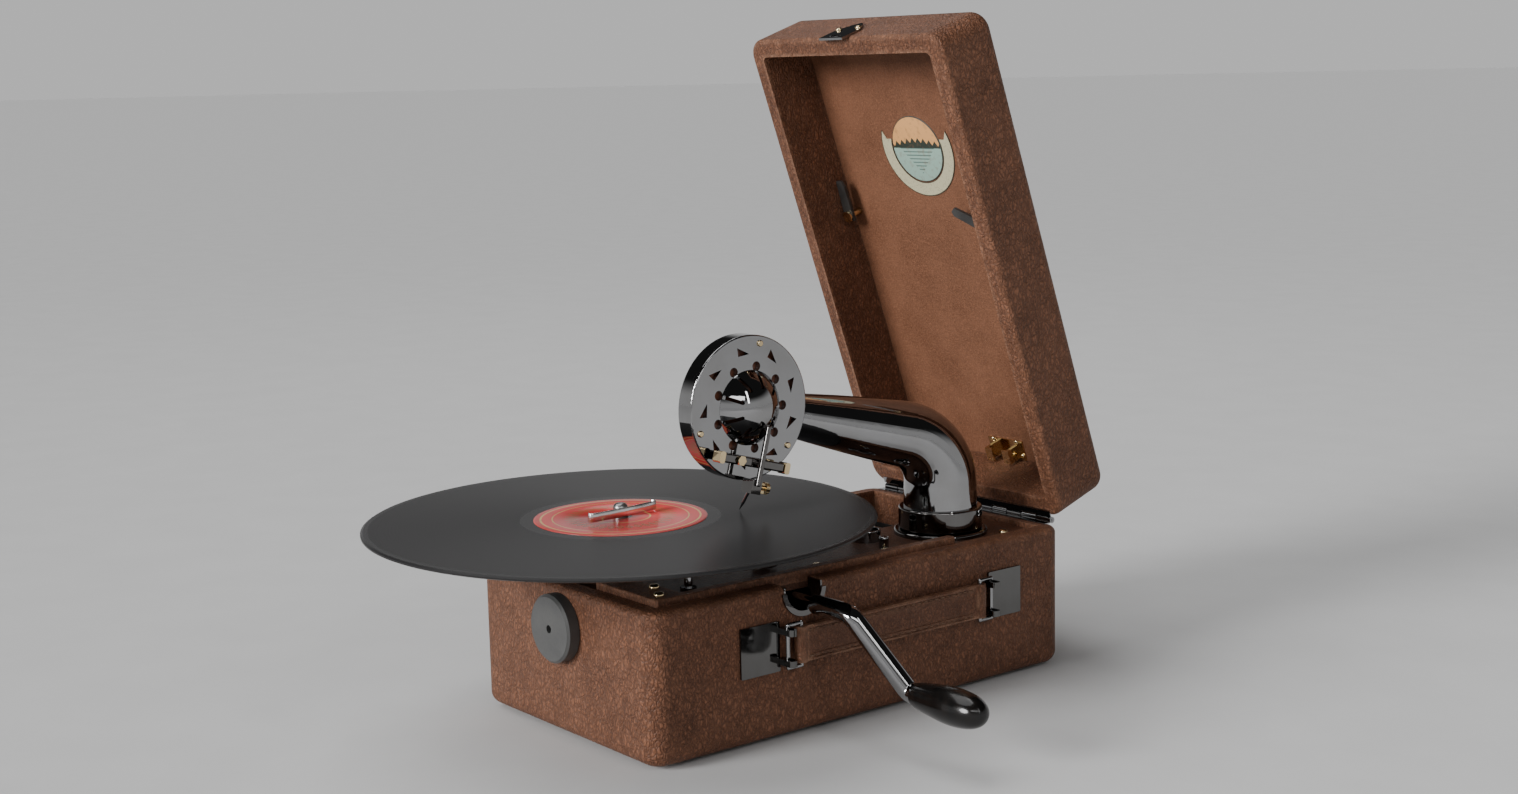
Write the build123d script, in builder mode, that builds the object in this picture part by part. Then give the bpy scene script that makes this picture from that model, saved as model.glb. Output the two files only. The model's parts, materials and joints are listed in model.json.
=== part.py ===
"""Portable wind-up phonograph: leatherette case with a sprung lid, motor board, small turntable that carries a
ten-inch record clear of the case, swinging tonearm with a turning sound box, side crank and a strap handle.

Frame: the origin is on the floor under the middle of the case, +X towards the crank and handle side,
-Y towards the lock, +Y towards the lid hinge, +Z up. Millimetres.
"""
import os
from math import atan2, cos, degrees, radians, sin, sqrt, tan

from build123d import *

os.makedirs("parts", exist_ok=True)

# ---------------------------------------------------------------- driving dimensions
case_width = 149.2
case_length = 268.8
wall = 9.4
foot_height = 2.0
rim_z = 76.0
corner_radius = 10.0
board_z = 73.4
board_thickness = 3.0
board_rear_y = 70.0
tongue_left_x = 3.0

record_diameter = 250.0
record_top_z = 104.4
record_thickness = 2.0
label_diameter = 84.7
spindle_y = -97.6
platter_radius = 36.0
spindle_radius = 3.6

lid_open_angle = 70.8
lid_depth = 37.8
lid_panel_depth = 32.9
lid_rim_y = 134.5
lid_rim_z = 79.7
hinge_y = 135.6
hinge_z = 77.4

arm_x = 31.0
arm_y = 86.5
arm_corner_z = 122.7
arm_turn = 16.8
arm_rise = 13.6
arm_length = 100.0
arm_radius_base = 19.5
arm_radius_end = 10.0
arm_wall = 1.2

box_back_x = 20.0
box_y = -40.5
box_z = 155.1
box_radius = 35.8
box_thickness = 11.0
stylus_lean = 15.5

crank_y = -43.0
crank_z = 66.5
crank_reach = 106.6
crank_throw_y = 14.5
crank_throw_z = -35.3
grip_start_x = 136.0
grip_length = 44.5
crank_rod_radius = 4.8
crank_journal_radius = 3.3

barrel_x = 8.0
barrel_y = -43.0
running_gap = 0.05
gap = 0.3

# ---------------------------------------------------------------- derived places
half_width = case_width / 2
half_length = case_length / 2
inner_half_width = half_width - wall
inner_half_length = half_length - wall
case_floor_z = foot_height + 6.0
lid_sin = sin(radians(lid_open_angle))
lid_cos = cos(radians(lid_open_angle))
# rim plane of the open lid: local x to the right, local y up the lid, local z out of its mouth
lid_plane = Plane(origin=(0, lid_rim_y, lid_rim_z), x_dir=(1, 0, 0), z_dir=(0, -lid_sin, -lid_cos))
arm_direction = Vector(
    -sin(radians(arm_turn)) * cos(radians(arm_rise)),
    -cos(radians(arm_turn)) * cos(radians(arm_rise)),
    sin(radians(arm_rise)),
)
arm_corner = Vector(arm_x, arm_y, arm_corner_z)
arm_end = arm_corner + arm_direction * arm_length
# sound box plane: local x towards the hinge, local y up, local z out of the face
box_plane = Plane(origin=(box_back_x, box_y, box_z), x_dir=(0, 1, 0), z_dir=(1, 0, 0))


upright = (Align.CENTER, Align.CENTER, Align.MIN)


def disc(radius, height, hole_radius=0.0, teeth=0, tooth_depth=1.2):
    """A wheel standing on the current plane, bored through, with square teeth when teeth are asked for."""
    with BuildPart(mode=Mode.PRIVATE) as wheel:
        with BuildSketch():
            Circle(radius - (tooth_depth if teeth else 0))
            if teeth:
                with PolarLocations(radius - tooth_depth / 2, teeth):
                    Rectangle(2 * tooth_depth, 3.1416 * radius / teeth)
                Circle(radius, mode=Mode.INTERSECT)
            if hole_radius:
                Circle(hole_radius, mode=Mode.SUBTRACT)
        extrude(amount=height)
    return wheel.part


def domed_screw(radius, height):
    """The visible head of a round-headed screw with its slot, standing on the current plane."""
    with BuildPart(mode=Mode.PRIVATE) as head:
        Cylinder(radius, height, align=upright)
        fillet(head.edges().group_by(Axis.Z)[-1], height * 0.8)
        with Locations((0, 0, height)):
            Box(2 * radius, radius * 0.28, height * 0.6, mode=Mode.SUBTRACT)
    return head.part


# ---------------------------------------------------------------- case
with BuildPart() as case_shell:
    with BuildSketch(Plane.XY.offset(foot_height)):
        RectangleRounded(case_width, case_length, corner_radius)
    extrude(amount=rim_z - foot_height)
    fillet(case_shell.edges().group_by(Axis.Z)[0], 6.5)
    fillet(case_shell.edges().group_by(Axis.Z)[-1], 3.5)
    with BuildSketch(Plane.XY.offset(case_floor_z)):
        Rectangle(2 * inner_half_width, 2 * inner_half_length)
    extrude(amount=rim_z, mode=Mode.SUBTRACT)
    # U-shaped pocket in the right wall where the crank goes in
    with BuildSketch(Plane.YZ.offset(inner_half_width - 1)):
        with Locations((crank_y - 1.8, board_z)):
            Circle(11.8)
        with Locations((crank_y - 1.8, board_z + 10)):
            Rectangle(23.6, 20)
    extrude(amount=wall + 2, mode=Mode.SUBTRACT)
    # bore for the lock bush in the front wall
    with BuildSketch(Plane.XZ.offset(half_length + 1)):
        with Locations((0, 56.2)):
            Circle(6)
    extrude(amount=-(wall + 2), mode=Mode.SUBTRACT)

with BuildPart() as rubber_feet:
    with BuildSketch():
        with GridLocations(case_width - 34, case_length - 34, 2, 2):
            Circle(7)
    extrude(amount=foot_height)
    fillet(rubber_feet.edges().group_by(Axis.Z)[0], 1)

with BuildPart() as crank_escutcheon:
    with BuildSketch(Plane.YZ.offset(inner_half_width)):
        with Locations((crank_y - 1.8, board_z)):
            Circle(11.8)
            Circle(10.8, mode=Mode.SUBTRACT)
        with Locations((crank_y - 1.8, board_z + 12)):
            Rectangle(30, 20, mode=Mode.SUBTRACT)
    extrude(amount=wall)
    with BuildSketch(Plane.YZ.offset(half_width)):
        with Locations((crank_y - 1.8, board_z)):
            Circle(13.4)
            Circle(10.8, mode=Mode.SUBTRACT)
        with Locations((crank_y - 1.8, board_z + 9)):
            Rectangle(30, 20, mode=Mode.SUBTRACT)
    extrude(amount=1.2)

# ---------------------------------------------------------------- motor board
board_front_y = -inner_half_length + gap
board_side_x = inner_half_width - gap
with BuildPart() as deck_board:
    with BuildSketch(Plane.XY.offset(board_z - board_thickness)):
        with Locations((0, (board_front_y + board_rear_y) / 2)):
            Rectangle(2 * board_side_x, board_rear_y - board_front_y)
        with Locations(((tongue_left_x + board_side_x) / 2, (board_rear_y + inner_half_length - gap) / 2)):
            Rectangle(board_side_x - tongue_left_x, inner_half_length - gap - board_rear_y)
        with Locations((0, spindle_y)):
            Circle(7, mode=Mode.SUBTRACT)
        with Locations((arm_x, arm_y)):
            Circle(16, mode=Mode.SUBTRACT)
        with Locations((30, -33)):
            Circle(2.55, mode=Mode.SUBTRACT)
        with Locations((52, -96)):
            Circle(2.05, mode=Mode.SUBTRACT)
    extrude(amount=board_thickness)

surround_top_z = 79.2
surround_outer_x = inner_half_width - 0.6
with BuildPart() as deck_surround:
    with BuildSketch(Plane.XY.offset(board_z)):
        with Locations((0, (-123.5 - 105.5) / 2)):
            Rectangle(2 * surround_outer_x, 18)
        with Locations((surround_outer_x - 3, -28.75), (-surround_outer_x + 3, -28.75)):
            Rectangle(6, 189.5)
        with Locations((0, board_front_y + 3)):
            Rectangle(28, 24, mode=Mode.SUBTRACT)
    extrude(amount=surround_top_z - board_z)
    fillet(deck_surround.edges().filter_by(Axis.Z), 2)
    fillet(deck_surround.edges().group_by(Axis.Z)[-1], 0.8)

board_screw_places = [(45.3, 34.7), (-45.3, 34.7), (46, -12), (-46, -12), (56.5, 108), (-30, 60)]
surround_screw_places = [(57.5, -117), (-57.5, -117), (44, -110), (-44, -110)]
board_screw_head = domed_screw(2.5, 1.8)
with BuildPart() as deck_screws:
    for x, y in board_screw_places:
        with Locations((x, y, board_z)):
            add(board_screw_head)
    for x, y in surround_screw_places:
        with Locations((x, y, surround_top_z)):
            add(board_screw_head)

with BuildPart() as needle_cup:
    with Locations((19, 44, board_z)):
        Cylinder(8, 6, align=upright)
        with Locations((0, 0, 1)):
            Cylinder(6.8, 6, align=upright, mode=Mode.SUBTRACT)
    fillet(needle_cup.edges().group_by(Axis.Z)[-1], 0.4)

with BuildPart() as arm_rest_post:
    with Locations((39.4, 38.5, board_z)):
        Cylinder(2.6, 6.4, align=upright)
    fillet(arm_rest_post.edges().group_by(Axis.Z)[-1], 1.2)

# ---------------------------------------------------------------- folded horn
mouth_left_x = -inner_half_width + gap
horn_right_x = inner_half_width - gap
horn_front_y = board_rear_y - 1.4
horn_rear_y = inner_half_length - gap
horn_top_z = 58.0
sheet = 1.2
with BuildPart() as sound_horn:
    with BuildSketch(Plane.XZ.offset(-horn_front_y)):
        with BuildLine():
            FilletPolyline(
                (mouth_left_x, horn_top_z),
                (mouth_left_x, case_floor_z),
                (horn_right_x, case_floor_z),
                (horn_right_x, horn_top_z),
                radius=18,
            )
            Line((horn_right_x, horn_top_z), (mouth_left_x, horn_top_z))
        make_face()
    extrude(amount=-(horn_rear_y - horn_front_y))
    with Locations((arm_x, arm_y, horn_top_z)):
        Cylinder(17.2, board_z - board_thickness - horn_top_z, align=upright)
    # the air space: duct, mouth and riser
    with BuildSketch(Plane.XZ.offset(-horn_front_y - sheet)):
        with BuildLine():
            FilletPolyline(
                (mouth_left_x + sheet, horn_top_z - sheet),
                (mouth_left_x + sheet, case_floor_z + sheet),
                (horn_right_x - sheet, case_floor_z + sheet),
                (horn_right_x - sheet, horn_top_z - sheet),
                radius=17,
            )
            Line((horn_right_x - sheet, horn_top_z - sheet), (mouth_left_x + sheet, horn_top_z - sheet))
        make_face()
    extrude(amount=-(horn_rear_y - horn_front_y - 2 * sheet), mode=Mode.SUBTRACT)
    mouth_width = tongue_left_x - 6 - mouth_left_x - 2 * sheet
    with Locations((mouth_left_x + sheet + mouth_width / 2, (horn_front_y + horn_rear_y) / 2, horn_top_z)):
        Box(mouth_width, horn_rear_y - horn_front_y - 2 * sheet, 4, mode=Mode.SUBTRACT)
    with Locations((arm_x, arm_y, horn_top_z - 2)):
        Cylinder(16, 20, align=upright, mode=Mode.SUBTRACT)

# ---------------------------------------------------------------- motor frame
motor_plate_z = 64.0
bottom_plate_z = 12.0
pillar_places = [(-54, -98), (46, -86), (-52, 8), (46, 8)]
intermediate_x, intermediate_y = -24.0, -67.0
with BuildPart() as motor_top_plate:
    with BuildSketch(Plane.XY.offset(motor_plate_z)):
        with Locations((-3, -52)):
            RectangleRounded(112, 132, 6)
        with Locations((0, spindle_y)):
            Circle(4.05, mode=Mode.SUBTRACT)
        with Locations((intermediate_x, intermediate_y)):
            Circle(2.05, mode=Mode.SUBTRACT)
        # open slot round the winding wheels and the crank shaft
        with Locations((36, crank_y)):
            Rectangle(60, 22, mode=Mode.SUBTRACT)
    extrude(amount=2)

with BuildPart() as motor_bottom_plate:
    with BuildSketch(Plane.XY.offset(bottom_plate_z)):
        with Locations((-3, -52)):
            RectangleRounded(112, 132, 6)
        with Locations((0, spindle_y)):
            Circle(4.05, mode=Mode.SUBTRACT)
        with Locations((intermediate_x, intermediate_y), (barrel_x, barrel_y)):
            Circle(2.05, mode=Mode.SUBTRACT)
    extrude(amount=2)

with BuildPart() as motor_pillars:
    for x, y in pillar_places:
        with Locations((x, y, bottom_plate_z + 2)):
            Cylinder(3.5, motor_plate_z - bottom_plate_z - 2, align=upright)
        with Locations((x, y, motor_plate_z + 2)):
            Cylinder(3, board_z - board_thickness - motor_plate_z - 2, align=upright)
        with Locations((x, y, case_floor_z)):
            Cylinder(3, bottom_plate_z - case_floor_z, align=upright)

# ---------------------------------------------------------------- turntable
with BuildPart() as turntable_spindle:
    with Locations((0, spindle_y, 10)):
        Cylinder(4, 66, align=upright)
    with Locations((0, spindle_y, 76)):
        Cylinder(6, 12, align=upright)
    with Locations((0, spindle_y, 88)):
        Cylinder(spindle_radius, record_top_z + 7 - 88, align=upright)
    fillet(turntable_spindle.edges().group_by(Axis.Z)[-1], 2.2)
    with Locations((0, spindle_y, 53)):
        add(disc(5, 4, 4, teeth=12, tooth_depth=0.8))
    with Locations((0, spindle_y, 24)):
        add(disc(9, 8, 4, teeth=24, tooth_depth=1.0))

platter_top_z = record_top_z - record_thickness - 1.0
with BuildPart() as platter:
    with BuildSketch(Plane.XZ.offset(-spindle_y)):
        with BuildLine():
            Polyline(
                (spindle_radius, platter_top_z),
                (platter_radius - 2, platter_top_z),
                (platter_radius, platter_top_z - 2),
                (platter_radius, platter_top_z - 12),
                (platter_radius - 1.5, platter_top_z - 12),
                (platter_radius - 1.5, platter_top_z - 2.5),
                (9, platter_top_z - 2.5),
                (7, 88),
                (spindle_radius, 88),
                close=True,
            )
        make_face()
    revolve(axis=Axis((0, spindle_y, 0), (0, 0, 1)))

with BuildPart() as platter_felt:
    with Locations((0, spindle_y, platter_top_z)):
        add(disc(platter_radius - 2.2, 1.0, spindle_radius))

with BuildPart() as record:
    with BuildSketch(Plane.XZ.offset(-spindle_y)):
        with BuildLine():
            Polyline(
                (spindle_radius + 0.05, record_top_z),
                (record_diameter / 2 - 1.2, record_top_z),
                (record_diameter / 2, record_top_z - 0.7),
                (record_diameter / 2, record_top_z - 1.4),
                (record_diameter / 2 - 1.2, record_top_z - record_thickness),
                (spindle_radius + 0.05, record_top_z - record_thickness),
                close=True,
            )
        make_face()
    revolve(axis=Axis((0, spindle_y, 0), (0, 0, 1)))

# ---------------------------------------------------------------- spring barrel, winding gear and train
with BuildPart() as spring_barrel:
    with Locations((barrel_x, barrel_y, 18)):
        Cylinder(32, 30, align=upright)
        with Locations((0, 0, 1.5)):
            Cylinder(30.5, 27, align=upright, mode=Mode.SUBTRACT)
        Cylinder(4.05, 40, align=upright, mode=Mode.SUBTRACT)
    with Locations((barrel_x, barrel_y, 48)):
        add(disc(34.7, 3, 4.05, teeth=72, tooth_depth=1.4))

with BuildPart() as mainspring:
    with BuildSketch(Plane.XY.offset(20.5)):
        for turn in range(9):
            with Locations((barrel_x, barrel_y)):
                Circle(12 + 2 * turn)
                Circle(11.2 + 2 * turn, mode=Mode.SUBTRACT)
        # the hooked ends that carry every coil to the next
        with Locations((barrel_x + 20.2, barrel_y)):
            Rectangle(18, 1.2)
    extrude(amount=25)

crown_z = 60.2
with BuildPart() as winding_arbor:
    with Locations((barrel_x, barrel_y, 16)):
        Cylinder(4, crown_z - 16, align=upright)
    with Locations((barrel_x, barrel_y, 12)):
        Cylinder(2, 4, align=upright)
    with Locations((barrel_x, barrel_y, 20)):
        Cylinder(8, 26, align=upright)
    with Locations((barrel_x, barrel_y, crown_z)):
        add(disc(13, 2.4, 0, teeth=28, tooth_depth=1.2))

with BuildPart() as intermediate_wheel:
    with Locations((intermediate_x, intermediate_y, 10.5)):
        Cylinder(2, 56.5, align=upright)
    with Locations((intermediate_x, intermediate_y, 46.5)):
        add(disc(5, 5, 2, teeth=10, tooth_depth=0.8))
    with Locations((intermediate_x, intermediate_y, 54)):
        add(disc(33.5, 2, 2, teeth=80, tooth_depth=1.0))

governor_y = spindle_y - 12.6
governor_z = 28.0
with BuildPart() as governor_shaft:
    with Locations(Location((-54.5, governor_y, governor_z), (0, 90, 0))):
        Cylinder(1.5, 74, align=upright)
    with Locations(Location((-8, governor_y, governor_z), (0, 90, 0))):
        Cylinder(3, 16, align=upright)
    with Locations(Location((-44, governor_y, governor_z), (0, 90, 0))):
        add(disc(9.5, 1.5, 1.5))
    with Locations(Location((-18, governor_y, governor_z), (0, 90, 0))):
        Cylinder(4, 3, align=upright)
    with Locations(Location((-38, governor_y, governor_z), (0, 90, 0))):
        Cylinder(4, 3, align=upright)

with BuildPart() as governor_weights:
    with BuildSketch(Plane.YZ.offset(-30)):
        with Locations((governor_y, governor_z)):
            with PolarLocations(8.2, 3):
                Circle(3.2)
    extrude(amount=7)
    with BuildSketch(Plane.YZ.offset(-38)):
        with Locations((governor_y, governor_z)):
            with PolarLocations(4.6, 3):
                Rectangle(1.2, 4)
    extrude(amount=23)

with BuildPart() as governor_bracket:
    for x in (-53, 18):
        with Locations((x, governor_y, bottom_plate_z + 2)):
            Box(3.6, 9, 20, align=upright)
    with Locations(Location((0, governor_y, governor_z), (0, 90, 0))):
        Cylinder(1.55, 130, mode=Mode.SUBTRACT)

# ---------------------------------------------------------------- speed regulator and brake
with BuildPart() as speed_lever:
    with Locations((30, -33, 66.5)):
        Cylinder(2.5, 10, align=upright)
    with Locations((30, -33, 74.5)):
        Cylinder(6.5, 4, align=upright)
    fillet(speed_lever.edges().group_by(Axis.Z)[-1], 1.2)
    with Locations((24, -24, 67.5)):
        Box(5, 18, 1.6, rotation=(0, 0, 35))

brake_x, brake_y = 52.0, -96.0
with BuildPart() as brake_lever:
    with Locations((brake_x, brake_y, 66.5)):
        Cylinder(2, 28, align=upright)
    with Locations((brake_x, brake_y, board_z + 0.3)):
        Cylinder(4, 5, align=upright)
    with Locations((brake_x + 2, brake_y, 92)):
        Box(22, 5, 1.6, align=upright)
    with Locations((brake_x + 13, brake_y, 92)):
        Cylinder(4, 3, align=upright)
    with Locations((brake_x - 8, brake_y, 93.6)):
        Box(3, 9, 6, align=(Align.CENTER, Align.CENTER, Align.MAX))

with BuildPart() as brake_pad:
    with Locations((brake_x - 9.5, brake_y, 93.6)):
        Box(5, 9, 6, align=(Align.MAX, Align.CENTER, Align.MAX))

# ---------------------------------------------------------------- crank
crank_end = (crank_reach, crank_y, crank_z)
grip_axis_y = crank_y + crank_throw_y
grip_axis_z = crank_z + crank_throw_z
with BuildPart() as crank_bearing:
    with Locations((53, crank_y, board_z - board_thickness)):
        Box(8, 18, 12.4, align=(Align.CENTER, Align.CENTER, Align.MAX))
    with Locations(Location((53, crank_y, crank_z), (0, 90, 0))):
        Cylinder(2.45, 30, mode=Mode.SUBTRACT)

pinion_x = barrel_x + 8.0
with BuildPart() as crank_shaft:
    with Locations(Location((pinion_x + 1, crank_y, crank_z), (0, 90, 0))):
        Cylinder(2.4, 60 - pinion_x - 1, align=upright)
    with Locations(Location((pinion_x, crank_y, crank_z), (0, 90, 0))):
        add(disc(3.5, 5, 0, teeth=8, tooth_depth=0.7))

with BuildPart() as crank_arm:
    with Locations(Location((60, crank_y, crank_z), (0, 90, 0))):
        Cylinder(crank_journal_radius, 26, align=upright)
    with BuildLine() as crank_path:
        FilletPolyline(
            (82, crank_y, crank_z),
            crank_end,
            (grip_start_x - 5, grip_axis_y, grip_axis_z),
            (grip_start_x, grip_axis_y, grip_axis_z),
            radius=(9, 5.4),
        )
    with BuildSketch(Plane.YZ.offset(82)):
        with Locations((crank_y, crank_z)):
            Circle(crank_rod_radius)
    sweep(path=crank_path.wires()[0])
    with Locations(Location((grip_start_x - 2.2, grip_axis_y, grip_axis_z), (0, 90, 0))):
        Cylinder(5.1, 2, align=upright)
    with Locations(Location((grip_start_x, grip_axis_y, grip_axis_z), (0, 90, 0))):
        Cylinder(2.2, grip_length - 6, align=upright)

with BuildPart() as crank_grip:
    with BuildSketch(Plane((grip_start_x + 0.1, grip_axis_y, grip_axis_z), x_dir=(1, 0, 0), z_dir=(0, -1, 0))):
        with BuildLine():
            Line((0, 0), (0, 5.6))
            Spline((0, 5.6), (12, 7.7), (31, 8.6), (grip_length, 0), tangents=((1, 0.3), (0, -1)))
            Line((grip_length, 0), (0, 0))
        make_face()
    revolve(axis=Axis((grip_start_x, grip_axis_y, grip_axis_z), (1, 0, 0)))
    with Locations(Location((grip_start_x, grip_axis_y, grip_axis_z), (0, 90, 0))):
        Cylinder(2.25, grip_length - 5, align=upright, mode=Mode.SUBTRACT)

# ---------------------------------------------------------------- tonearm
flange_sleeve_radius = arm_radius_base - arm_wall - 0.08
with BuildPart() as tonearm_flange:
    with Locations((arm_x, arm_y, board_z)):
        Cylinder(24.9, 2.6, align=upright)
    fillet(tonearm_flange.edges().group_by(Axis.Z)[-1], 1.2)
    with Locations((arm_x, arm_y, board_z)):
        Cylinder(flange_sleeve_radius, 12, align=upright)
        Cylinder(15.8, 40, mode=Mode.SUBTRACT)

collar_z = board_z + 2.9
with BuildPart() as tonearm_collar:
    with Locations((arm_x, arm_y, collar_z)):
        Cylinder(22.2, 11.6, align=upright)
    fillet(tonearm_collar.edges().filter_by(GeomType.CIRCLE), 0.9)
    with Locations((arm_x, arm_y, collar_z - 1)):
        Cylinder(arm_radius_base, 20, align=upright, mode=Mode.SUBTRACT)

elbow_radius = 28.0
elbow_tangent = elbow_radius * tan(radians((90 - arm_rise) / 2))
arm_taper = (arm_radius_base - arm_radius_end) / arm_length
socket_top_z = collar_z + 11.7


def arm_solid(shrink, extra):
    """The bent, tapering tube as a solid: its radius is less by shrink and its two ends go on by extra."""
    with BuildPart(mode=Mode.PRIVATE) as tube:
        with Locations((arm_x, arm_y, collar_z - extra)):
            Cylinder(arm_radius_base - shrink, socket_top_z - collar_z + extra, align=upright)
        with BuildLine() as route:
            FilletPolyline((arm_x, arm_y, socket_top_z), arm_corner, arm_end, radius=elbow_radius)
        with BuildSketch(Plane((arm_x, arm_y, socket_top_z))):
            Circle(arm_radius_base - shrink)
        with BuildSketch(Plane(arm_corner + arm_direction * elbow_tangent, z_dir=arm_direction)):
            Circle(arm_radius_base - arm_taper * elbow_tangent - shrink)
        with BuildSketch(Plane(arm_end, z_dir=arm_direction)):
            Circle(arm_radius_end - shrink)
        sweep(path=route.wires()[0], multisection=True)
        if extra:
            with BuildSketch(Plane(arm_end, z_dir=arm_direction)):
                Circle(arm_radius_end - shrink)
            extrude(amount=extra)
    return tube.part


with BuildPart() as tonearm_tube:
    add(arm_solid(0, 0))
    add(arm_solid(arm_wall, 2), mode=Mode.SUBTRACT)

# ---------------------------------------------------------------- sound box
neck_radius = 8.0
neck_start = arm_end + arm_direction * gap
neck_corner = arm_corner + arm_direction * ((arm_y - box_y) / -arm_direction.Y)
journal_length = 8.0
with BuildPart() as soundbox_neck:
    with BuildLine() as neck_path:
        FilletPolyline(neck_start, neck_corner, (box_back_x, box_y, neck_corner.Z), radius=15)
    with BuildSketch(Plane(neck_start, z_dir=arm_direction)):
        Circle(neck_radius)
    sweep(path=neck_path.wires()[0])
    with BuildSketch(Plane(neck_start, z_dir=arm_direction)):
        Circle(arm_radius_end + 1.2)
    extrude(amount=5)
    # collar at the back of the sound box
    with BuildSketch(Plane.YZ.offset(box_back_x - 4)):
        with Locations((box_y, neck_corner.Z)):
            Circle(10.5)
    extrude(amount=4)
    # journal that turns inside the end of the tonearm tube, open for the sound
    with BuildSketch(Plane(neck_start, z_dir=arm_direction)):
        Circle(arm_radius_end - arm_wall - 0.08)
    extrude(amount=-journal_length)
    with BuildSketch(Plane(neck_start - arm_direction * (journal_length + 1), z_dir=arm_direction)):
        Circle(neck_radius - 1.5)
    extrude(amount=journal_length + 16, mode=Mode.SUBTRACT)

with BuildPart() as soundbox_casing:
    with BuildSketch(box_plane):
        Circle(box_radius)
    extrude(amount=8)
    fillet(soundbox_casing.edges().group_by(Axis.X)[0], 1.2)
    with BuildSketch(box_plane.offset(2)):
        Circle(box_radius - 2.4)
    extrude(amount=8, mode=Mode.SUBTRACT)
    with BuildSketch(box_plane):
        Circle(5)
    extrude(amount=4, mode=Mode.SUBTRACT)

with BuildPart() as diaphragm:
    with BuildSketch(box_plane.offset(6.8)):
        Circle(box_radius - 2.4)
    extrude(amount=0.8)

window_count = 9
keyhole_angle = -3
with BuildPart() as soundbox_face:
    with BuildSketch(box_plane.offset(8)):
        Circle(box_radius)
        Circle(18.6, mode=Mode.SUBTRACT)
        # round ends of the dome slots
        with PolarLocations(20.5, window_count, start_angle=keyhole_angle):
            Circle(2.4, mode=Mode.SUBTRACT)
        # triangular sound windows
        with PolarLocations(28.4, window_count, start_angle=keyhole_angle + 20):
            Polygon((-2.2, -3.6), (2.2, 3.2), (-2.2, 3.2), align=None, mode=Mode.SUBTRACT)
    extrude(amount=box_thickness - 8)
    fillet(soundbox_face.edges().group_by(Axis.X)[-1].sort_by(SortBy.LENGTH)[-1], 0.8)

dome_radius = 18.5
dome_height = 10.5
dome_back = 9.0
# profile plane of the dome: local x outward from its axis, local y out of the face
dome_plane = Plane((box_back_x + dome_back, box_y, box_z), x_dir=(0, -1, 0), z_dir=(0, 0, 1))
dome_axis = Axis((box_back_x, box_y, box_z), (1, 0, 0))
with BuildPart() as soundbox_dome:
    with BuildSketch(dome_plane):
        with BuildLine():
            Line((0, 2 + dome_height), (0, 0.8 + dome_height))
            ThreePointArc((0, 0.8 + dome_height), (9.5, 0.8 + dome_height * 0.78), (dome_radius - 1.4, 1.2))
            Line((dome_radius - 1.4, 1.2), (dome_radius - 1.4, 0))
            Line((dome_radius - 1.4, 0), (dome_radius, 0))
            Line((dome_radius, 0), (dome_radius, 2))
            ThreePointArc((dome_radius, 2), (10, 2 + dome_height * 0.76), (0, 2 + dome_height))
        make_face()
    revolve(axis=dome_axis)
    with BuildSketch(box_plane.offset(box_thickness + 0.4)):
        with PolarLocations(14.5, window_count, start_angle=keyhole_angle):
            SlotOverall(9, 1.8)
    extrude(amount=20, mode=Mode.SUBTRACT)

lean = radians(stylus_lean)
lever_offset = 4.6
# stylus plane: the lever lies along its local y, the cross bar along its local x, local z out of the face
stylus_plane = Plane(
    (box_back_x + box_thickness, box_y + lever_offset * cos(lean), box_z - lever_offset * sin(lean)),
    x_dir=(0, cos(lean), -sin(lean)),
    z_dir=(1, 0, 0),
)
pivot_height = 4.2
lever_height = 10.6
with BuildPart() as stylus_pivot:
    with BuildSketch(stylus_plane.offset(pivot_height)):
        with Locations((-2, -26)):
            Rectangle(38, 4.6)
    extrude(amount=4.6)
    fillet(stylus_pivot.edges(), 0.9)
    with BuildSketch(stylus_plane):
        with Locations((-15, -26), (11, -26)):
            Rectangle(4.6, 3.6)
    extrude(amount=pivot_height + 0.5)

# small brass parts of the sound box: face screws, cross-bar caps and clamp nut
with BuildPart() as soundbox_screws:
    with BuildSketch(box_plane.offset(box_thickness)):
        with PolarLocations(31.8, 3, start_angle=keyhole_angle + 80):
            Circle(1.6)
    extrude(amount=1)
    fillet(soundbox_screws.edges().group_by(Axis.X)[-1], 0.6)
    with BuildSketch(stylus_plane.offset(pivot_height - 0.6)):
        with Locations((-22.6, -26), (18.6, -26)):
            RectangleRounded(3.2, 5.8, 1.2)
    extrude(amount=5.8)
    with BuildSketch(stylus_plane.offset(pivot_height + 4.6)):
        with Locations((-11, -26)):
            RegularPolygon(2.6, 6)
    extrude(amount=1.4)

needle_top = stylus_plane.from_local_coords((0, -38.5, pivot_height - 1.6 + 4))
needle_tip = Vector(28.2, -46.2, record_top_z + 0.35)
needle_axis = (needle_tip - needle_top).normalized()
with BuildPart() as stylus_bar:
    with BuildSketch(stylus_plane.offset(lever_height)):
        with Locations((0, -22)):
            Rectangle(2.4, 30)
    extrude(amount=2.2)
    fillet(stylus_bar.edges(), 0.7)
    # foot over the dome and boss on the cross bar
    with BuildSketch(stylus_plane.offset(lever_height + 0.4)):
        with Locations((0, -8.5)):
            Circle(1.9)
    extrude(amount=-1.6)
    with BuildSketch(stylus_plane.offset(lever_height + 0.4)):
        with Locations((0, -26)):
            Circle(2)
    extrude(amount=pivot_height + 4.6 - lever_height - 0.4)
    with BuildSketch(stylus_plane.offset(pivot_height - 1)):
        with Locations((0, -37.4)):
            Rectangle(6, 7)
    extrude(amount=8)
    # socket for the needle
    with BuildSketch(Plane(needle_top, z_dir=needle_axis)):
        Circle(0.8)
    extrude(amount=12, mode=Mode.SUBTRACT)

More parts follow.
